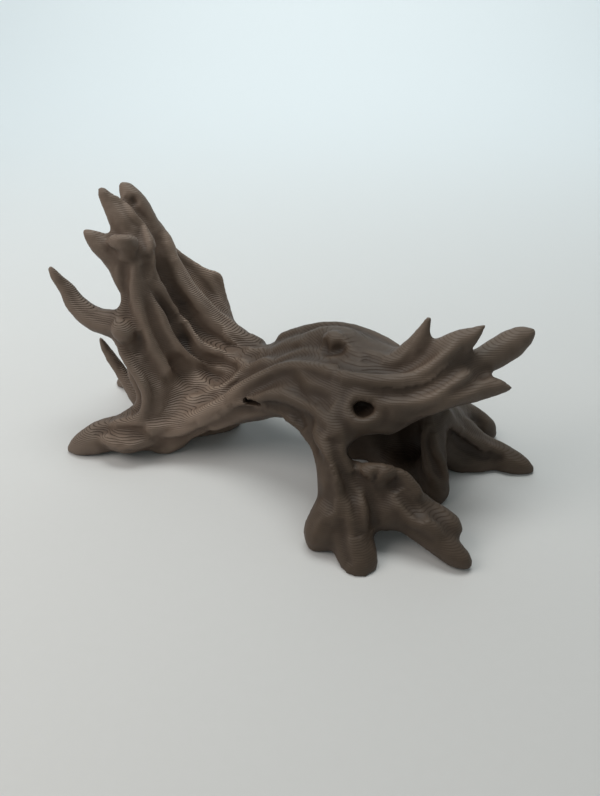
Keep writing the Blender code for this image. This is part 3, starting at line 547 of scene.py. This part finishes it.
def layer_group():
    tree, given, result = new_tree(
        "printed_layers", "ShaderNodeTree",
        [("Layer Height", "NodeSocketFloat", LAYER), ("Bead Strength", "NodeSocketFloat", 0.2),
         ("Terrace Strength", "NodeSocketFloat", 0.3), ("Wobble", "NodeSocketFloat", 0.05)],
        [("Normal", "NodeSocketVector"), ("Crease", "NodeSocketFloat"), ("Terrace", "NodeSocketFloat")])
    place = put(tree, "ShaderNodeTexCoord").outputs["Object"]
    height = put(tree, "ShaderNodeSeparateXYZ", place).outputs[2]
    drift = put(tree, "ShaderNodeTexNoise",
                named={"Vector": place, "Scale": 0.15 / MM, "Detail": 1.0}).outputs[0]
    drift = calc(tree, "MULTIPLY", calc(tree, "SUBTRACT", drift, 0.5), given["Wobble"])
    layers_below = calc(tree, "ADD", calc(tree, "DIVIDE", height, given["Layer Height"]), drift)
    phase = calc(tree, "FRACT", layers_below)

    normal = put(tree, "ShaderNodeNewGeometry").outputs["Normal"]
    up_part = put(tree, "ShaderNodeSeparateXYZ", normal).outputs[2]
    side = calc(tree, "SIGN", up_part)
    facing = calc(tree, "ABSOLUTE", up_part)
    sky = put(tree, "ShaderNodeCombineXYZ", 0.0, 0.0, side).outputs[0]
    level = vector_calc(tree, "MULTIPLY", normal, (1.0, 1.0, 0.0))
    outward = vector_calc(tree, "NORMALIZE", level)

    # downhill runs from 0, under the layer above, to 1, at the foot of this layer's edge
    above = calc(tree, "GREATER_THAN", up_part, 0.0)
    downhill = calc(tree, "ABSOLUTE", calc(tree, "SUBTRACT", above, phase))
    steepness = calc(tree, "DIVIDE", vector_calc(tree, "LENGTH", level), calc(tree, "MAXIMUM", facing, 0.05))
    edge = calc(tree, "MAXIMUM", calc(tree, "MULTIPLY", steepness, 0.5), EDGE_SHARE[0])
    edge = calc(tree, "MINIMUM", edge, EDGE_SHARE[1])
    from_top = calc(tree, "SUBTRACT", downhill, calc(tree, "SUBTRACT", 1.0, edge))
    turn = calc(tree, "MULTIPLY", calc(tree, "DIVIDE", from_top, edge, clamp=True), BEAD_TURN)
    bead = vector_calc(tree, "ADD", vector_calc(tree, "SCALE", sky, calc(tree, "COSINE", turn)),
                       vector_calc(tree, "SCALE", outward, calc(tree, "SINE", turn)))
    sloping = smooth_step(tree, facing, *LEVEL_FACE)
    terrace = smooth_step(tree, facing, *TERRACED_FACE)
    strength = calc(tree, "MULTIPLY", terrace, given["Terrace Strength"])
    strength = calc(tree, "ADD", given["Bead Strength"], strength)
    share = calc(tree, "MULTIPLY", strength, sloping)
    printed = vector_calc(tree, "NORMALIZE", vector_calc(
        tree, "ADD", vector_calc(tree, "SCALE", normal, calc(tree, "SUBTRACT", 1.0, share)),
        vector_calc(tree, "SCALE", bead, share)))

    to_crease = calc(tree, "MINIMUM", phase, calc(tree, "SUBTRACT", 1.0, phase))
    crease = calc(tree, "MULTIPLY", smooth_step(tree, to_crease, CREASE_SHARE, 0.0), sloping)
    tree.links.new(printed, result["Normal"])
    tree.links.new(crease, result["Crease"])
    tree.links.new(terrace, result["Terrace"])
    return tree


printed_layers = layer_group()

# %% [markdown]
# The colour is a warm brown that isn't quite even. Three things change it. The `hollow` attribute paints a
# highlight on the crests, lighter and greyer, as if they caught the light at a low angle, and paints shade
# into the furrows, redder and darker. The creases between layers get a little painted shade and are rougher
# than the crown of each bead. And the piece has been handled: the log, the torn top and the front feet are
# rubbed smooth, so their layers show less. Painted shade darkens the log, the legs and the feet at the
# right, where the light falls off, but not the high branch. Painted light makes the trunk's end at the left
# paler, near the lamp, and the saddle paler still, partly from dust and partly from a painted sheen.
#
# All of that could be painted into a texture by hand. Masks made from the object's own coordinates do it
# with a few numbers that can be read and changed. Each is a soft step between two places.

# %% The colours and the masks
# The crest brown carries a painted highlight and the furrow brown painted shade, which also goes into the
# layers' creases.
BROWN_CREST_HIGHLIGHT = (0.130, 0.094, 0.070, 1.0)
BROWN_BODY = (0.078, 0.053, 0.038, 1.0)
BROWN_FURROW_SHADE = (0.018, 0.012, 0.009, 1.0)
PATCH_TINT = (1.22, 1.20, 1.18, 1.0)
# painted shade on the log, the legs and the feet at the right, where the light falls off
RIGHT_SHADE_TINT = (0.55, 0.52, 0.48, 1.0)
# painted light on the trunk's end at the left, near the lamp; the saddle's paleness is partly dust, partly a
# painted sheen
LEFT_END_LIGHT_TINT = (1.25, 1.25, 1.27, 1.0)
SADDLE_DUST_AND_SHEEN_TINT = (1.80, 1.80, 1.83, 1.0)

# where each mask starts and where it is full
RUBBED_LOG_X = (-9 * MM, -1 * MM)
RUBBED_FEET_Y = (-4 * MM, -12 * MM)
RUBBED_TOP_Z = (19 * MM, 24 * MM)
# painted shade at the right, with the lit high branch left out of it
RIGHT_SHADE_X = (-10 * MM, 1 * MM)
LIT_BRANCH_X = (8 * MM, 14 * MM)
LIT_BRANCH_Z = (12 * MM, 16 * MM)
# painted light at the trunk's end, and the saddle within it
LIT_END_X = (-2 * MM, -12 * MM)
SADDLE_RIGHT_X = (-2 * MM, -7 * MM)
SADDLE_LEFT_X = (-19 * MM, -13 * MM)


def mixed(tree, factor, first, second, blend="MIX"):
    """A Mix node for colours. Its two colours are the seventh and the eighth socket."""
    return put(tree, "ShaderNodeMix", factor, *[None] * 5, first, second, data_type="RGBA",
               blend_type=blend).outputs[2]


def tinted(tree, colour, tint):
    """The colour multiplied by a tint, which may be brighter than white."""
    return mixed(tree, 1.0, colour, tint, "MULTIPLY")


def rubbed_mask(tree, x, y, z):
    """Full on the log, the front feet and the torn top."""
    low = calc(tree, "MAXIMUM", smooth_step(tree, x, *RUBBED_LOG_X), smooth_step(tree, y, *RUBBED_FEET_Y))
    return calc(tree, "MAXIMUM", low, smooth_step(tree, z, *RUBBED_TOP_Z))


def right_shade_mask(tree, x, z):
    """Full on the log and its feet, where painted shade darkens them, but not on the branch that rises at
    the right.
    """
    branch = calc(tree, "MULTIPLY", smooth_step(tree, x, *LIT_BRANCH_X),
                  smooth_step(tree, z, *LIT_BRANCH_Z))
    return calc(tree, "SUBTRACT", smooth_step(tree, x, *RIGHT_SHADE_X), branch, clamp=True)


def saddle_mask(tree, x):
    return calc(tree, "MULTIPLY", smooth_step(tree, x, *SADDLE_RIGHT_X),
                smooth_step(tree, x, *SADDLE_LEFT_X))


# %% [markdown]
# The material puts these together: first the brown with its painted highlight and shade by depth, then the
# lighter patches and the painted shade in the creases, then the painted light at the left end, the dust and
# painted sheen in the saddle, and the painted shade at the right. Roughness follows the creases, and the
# layer group gives the normal.

# %% The plastic
CREST_HOLLOW = -0.12 * MM                  # how deep a point lies on a sharp crest
FURROW_HOLLOW = 0.42 * MM                  # and at the bottom of a deep furrow
BODY_DEPTH = 0.40                          # share of the way down where the brown is the body's
FURROW_SHADE_SHARE = 0.8                         # how much of the painted shade a deep furrow takes
PATCH_SCALE = 0.12 / MM
PATCH_EDGE = (0.45, 0.75)                  # noise value, from no patch to a full one
BEAD_STRENGTH = 0.17
TERRACE_STRENGTH = 0.42
RUBBED_SHARE = 0.65                        # how much of the layers rubbing takes away
CREASE_SHADE_UPRIGHT = 0.08                 # how much painted shade a crease gets on an upright face
CREASE_SHADE_TERRACE = 0.45                 # and how much more on a slope
CROWN_ROUGHNESS = 0.52
CREASE_ROUGHNESS = 0.25                    # added in the creases


def brown_with_painted_light_by_depth(tree, place):
    hollow = put(tree, "ShaderNodeAttribute", attribute_name="hollow",
                 attribute_type="GEOMETRY").outputs["Fac"]
    depth = put(tree, "ShaderNodeMapRange", hollow, CREST_HOLLOW, FURROW_HOLLOW, 0.0, 1.0).outputs[0]
    # Painted highlight on the crests and painted shade in the furrows, by depth.
    colour = mixed(tree, smooth_step(tree, depth, 0.0, BODY_DEPTH), BROWN_CREST_HIGHLIGHT, BROWN_BODY)
    furrow_shade = calc(tree, "MULTIPLY", smooth_step(tree, depth, BODY_DEPTH, 1.0), FURROW_SHADE_SHARE)
    colour = mixed(tree, furrow_shade, colour, BROWN_FURROW_SHADE)
    patches = put(tree, "ShaderNodeTexNoise",
                  named={"Vector": place, "Scale": PATCH_SCALE, "Detail": 3.0}).outputs[0]
    return mixed(tree, smooth_step(tree, patches, *PATCH_EDGE), colour, tinted(tree, colour, PATCH_TINT))


def printed_plastic():
    material = bpy.data.materials.new("printed_brown_plastic")
    material.use_nodes = True
    tree = material.node_tree
    principled = tree.nodes["Principled BSDF"]
    place = put(tree, "ShaderNodeTexCoord").outputs["Object"]
    x, y, z = put(tree, "ShaderNodeSeparateXYZ", place).outputs
    rubbed = calc(tree, "MULTIPLY", rubbed_mask(tree, x, y, z), RUBBED_SHARE)
    sharpness = calc(tree, "SUBTRACT", 1.0, rubbed)
    layers = put(tree, "ShaderNodeGroup", node_tree=printed_layers, named={
        "Layer Height": LAYER, "Bead Strength": calc(tree, "MULTIPLY", sharpness, BEAD_STRENGTH),
        "Terrace Strength": calc(tree, "MULTIPLY", sharpness, TERRACE_STRENGTH)})

    colour = brown_with_painted_light_by_depth(tree, place)
    # Painted shade in the creases between layers, stronger on slopes.
    crease_shade = calc(tree, "MULTIPLY", layers.outputs["Terrace"], CREASE_SHADE_TERRACE)
    crease_shade = calc(tree, "MULTIPLY", sharpness, calc(tree, "ADD", CREASE_SHADE_UPRIGHT, crease_shade))
    crease_shade = calc(tree, "MULTIPLY", layers.outputs["Crease"], crease_shade)
    colour = mixed(tree, crease_shade, colour, BROWN_FURROW_SHADE)

    # Painted light on the left end, and dust with a painted sheen in the saddle.
    painted_light_and_dust = mixed(tree, saddle_mask(tree, x), tinted(tree, colour, LEFT_END_LIGHT_TINT),
                  tinted(tree, colour, SADDLE_DUST_AND_SHEEN_TINT))
    painted_light_and_dust = mixed(tree, smooth_step(tree, x, *LIT_END_X), colour, painted_light_and_dust)
    # Painted shade darkens the right part, but not the high branch.
    colour = mixed(tree, right_shade_mask(tree, x, z), painted_light_and_dust, tinted(tree, colour, RIGHT_SHADE_TINT))
    tree.links.new(colour, principled.inputs["Base Color"])

    roughness = calc(tree, "MULTIPLY", layers.outputs["Crease"], CREASE_ROUGHNESS)
    roughness = calc(tree, "ADD", CROWN_ROUGHNESS, roughness)
    tree.links.new(roughness, principled.inputs["Roughness"])
    tree.links.new(layers.outputs["Normal"], principled.inputs["Normal"])
    principled.inputs["Specular IOR Level"].default_value = 0.3
    principled.inputs["Metallic"].default_value = 0.0
    return material


plastic = printed_plastic()
print("material:", plastic.name, "with", len(plastic.node_tree.nodes), "nodes")

# %% [markdown]
# ## Carve the root
#
# The clay becomes an object, the carving tree runs on it as a modifier, and the result is baked to a plain
# mesh. The tree's inputs are set by their identifiers before the first evaluation.

# %% Run the carving tree
STROKE_STRENGTH = 0.62
GRAIN_STRENGTH = 1.0


def set_inputs(modifier, values):
    """Sets a Geometry Nodes modifier's inputs by name, through their identifiers."""
    for item in modifier.node_group.interface.items_tree:
        if item.item_type == "SOCKET" and item.in_out == "INPUT" and item.name in values:
            modifier[item.identifier] = values[item.name]


def carved_root():
    worked = bpy.data.objects.new("worked_clay", clay)
    bpy.context.scene.collection.objects.link(worked)
    carving = worked.modifiers.new("Carve", "NODES")
    carving.node_group = carve_tree(plastic)
    set_inputs(carving, {"Strokes": strokes, "Stroke Strength": STROKE_STRENGTH,
                         "Grain Strength": GRAIN_STRENGTH})
    mesh = baked(worked)
    mesh.name = "carved_root"
    bpy.data.objects.remove(worked)
    root = bpy.data.objects.new("carved_root", mesh)
    bpy.context.scene.collection.objects.link(root)
    mesh.shade_smooth()
    return root


root = carved_root()
bpy.data.objects.remove(strokes)
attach(root, "root")
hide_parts(NODE)
hollows = sorted(item.value / MM for item in root.data.attributes["hollow"].data)
spread = [round(hollows[int(share * (len(hollows) - 1))], 3) for share in (0.01, 0.1, 0.5, 0.9, 0.99)]
print("hollow, from crest to furrow, mm:", spread)
print("carved root:", sum(len(face.vertices) - 2 for face in root.data.polygons), "triangles")

# %% [markdown]
# ## Table, light and camera
#
# The root stands on a pale seamless sweep, the kind used for product pictures: a sheet that lies flat under
# the object and curves up behind it, so no horizon shows. Its colour is graded with painted light, from a
# darker warm grey in front to a cooler and lighter one behind, as if the light fell off towards the front.
# One soft warm lamp hangs close to the left end, a little in front of it, so the light falls off towards the
# right. A larger and cooler lamp hangs high behind, over the backdrop, and the pale room does the rest, so
# the shadow under the log stays soft.

# %% The sweep
SWEEP_FRONT = -0.6
SWEEP_BACK = 0.16
SWEEP_RADIUS = 0.25
SWEEP_TOP = 0.8
SWEEP_HALF_WIDTH = 1.0
SWEEP_STEPS = 24
# The paper's colour carries painted light: darker and warmer in front, lighter and cooler behind.
PAPER_FRONT_SHADED = (0.60, 0.585, 0.57, 1.0)
PAPER_BACK_LIT = (0.77, 0.82, 0.85, 1.0)
PAPER_LIGHT_GRADE = (-60 * MM, 240 * MM)         # along y, the painted light from the shaded front colour to the lit back one
PAPER_FLECK = (0.72, 0.70, 0.70, 1.0)
FLECK_SHARE = 0.1


def sweep_material():
    material = bpy.data.materials.new("pale_sweep")
    material.use_nodes = True
    tree = material.node_tree
    principled = tree.nodes["Principled BSDF"]
    place = put(tree, "ShaderNodeTexCoord").outputs["Object"]
    y = put(tree, "ShaderNodeSeparateXYZ", place).outputs[1]
    paper = mixed(tree, smooth_step(tree, y, *PAPER_LIGHT_GRADE), PAPER_FRONT_SHADED, PAPER_BACK_LIT)
    flecks = put(tree, "ShaderNodeTexNoise", named={"Vector": place, "Scale": 900.0}).outputs[0]
    colour = mixed(tree, calc(tree, "MULTIPLY", flecks, FLECK_SHARE), paper, PAPER_FLECK)
    tree.links.new(colour, principled.inputs["Base Color"])
    principled.inputs["Roughness"].default_value = 0.7
    return material


def pale_sweep():
    profile = [(SWEEP_FRONT, 0.0)]
    for step in range(SWEEP_STEPS + 1):
        angle = math.radians(90) * step / SWEEP_STEPS
        profile.append((SWEEP_BACK + SWEEP_RADIUS * math.sin(angle),
                        SWEEP_RADIUS * (1 - math.cos(angle))))
    profile.append((SWEEP_BACK + SWEEP_RADIUS, SWEEP_TOP))
    bm = bmesh.new()
    rows = [[bm.verts.new((x, y, z)) for x in (-SWEEP_HALF_WIDTH, SWEEP_HALF_WIDTH)] for y, z in profile]
    for (near_left, near_right), (far_left, far_right) in zip(rows, rows[1:]):
        bm.faces.new((near_left, near_right, far_right, far_left))
    mesh = bpy.data.meshes.new("sweep")
    bm.to_mesh(mesh)
    bm.free()
    mesh.shade_smooth()
    mesh.materials.append(sweep_material())
    sweep = bpy.data.objects.new("sweep", mesh)
    bpy.context.scene.collection.objects.link(sweep)
    return sweep


pale_sweep()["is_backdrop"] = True

# %% The lights
centre = (cad_low + cad_high) / 2


def soft_lamp(name, place, size, energy, colour, target):
    lamp = bpy.data.lights.new(name, "AREA")
    lamp.shape = "DISK"
    lamp.size = size
    lamp.energy = energy
    lamp.color = colour
    obj = bpy.data.objects.new(name, lamp)
    obj.location = place
    obj.rotation_euler = (target - Vector(place)).to_track_quat("-Z", "Y").to_euler()
    bpy.context.scene.collection.objects.link(obj)
    return obj


soft_lamp("key_lamp", place=(-0.13, -0.04, 0.14), size=0.14, energy=0.16, colour=(1.0, 0.95, 0.91),
          target=centre)
soft_lamp("backdrop_lamp", place=(0.01, 0.12, 0.40), size=0.30, energy=1.25, colour=(0.95, 0.99, 0.98),
          target=Vector((0.0, 0.36, 0.10)))


def studio_world(colour, strength):
    world = bpy.data.worlds.new("studio")
    world.use_nodes = True
    background = world.node_tree.nodes["Background"]
    background.inputs["Color"].default_value = colour
    background.inputs["Strength"].default_value = strength
    bpy.context.scene.world = world


studio_world((0.90, 1.0, 1.0, 1.0), 0.27)

# %% The camera
CAMERA_ELEVATION = math.radians(33)
CAMERA_DISTANCE = 91 * MM
CAMERA_TARGET = Vector((0.9, 5.1, 6.3)) * MM
CAMERA_LENS = 42.4


def look_from_front():
    camera = bpy.data.cameras.new("camera")
    camera.lens = CAMERA_LENS
    camera.sensor_fit = "HORIZONTAL"
    camera.sensor_width = 36.0
    camera.clip_start = 1 * MM
    back = Vector((0.0, -math.cos(CAMERA_ELEVATION), math.sin(CAMERA_ELEVATION)))
    obj = bpy.data.objects.new("camera", camera)
    obj.location = CAMERA_TARGET + back * CAMERA_DISTANCE
    obj.rotation_euler = (-back).to_track_quat("-Z", "Y").to_euler()
    bpy.context.scene.collection.objects.link(obj)
    bpy.context.scene.camera = obj


look_from_front()
bpy.context.scene.view_settings.view_transform = "Standard"
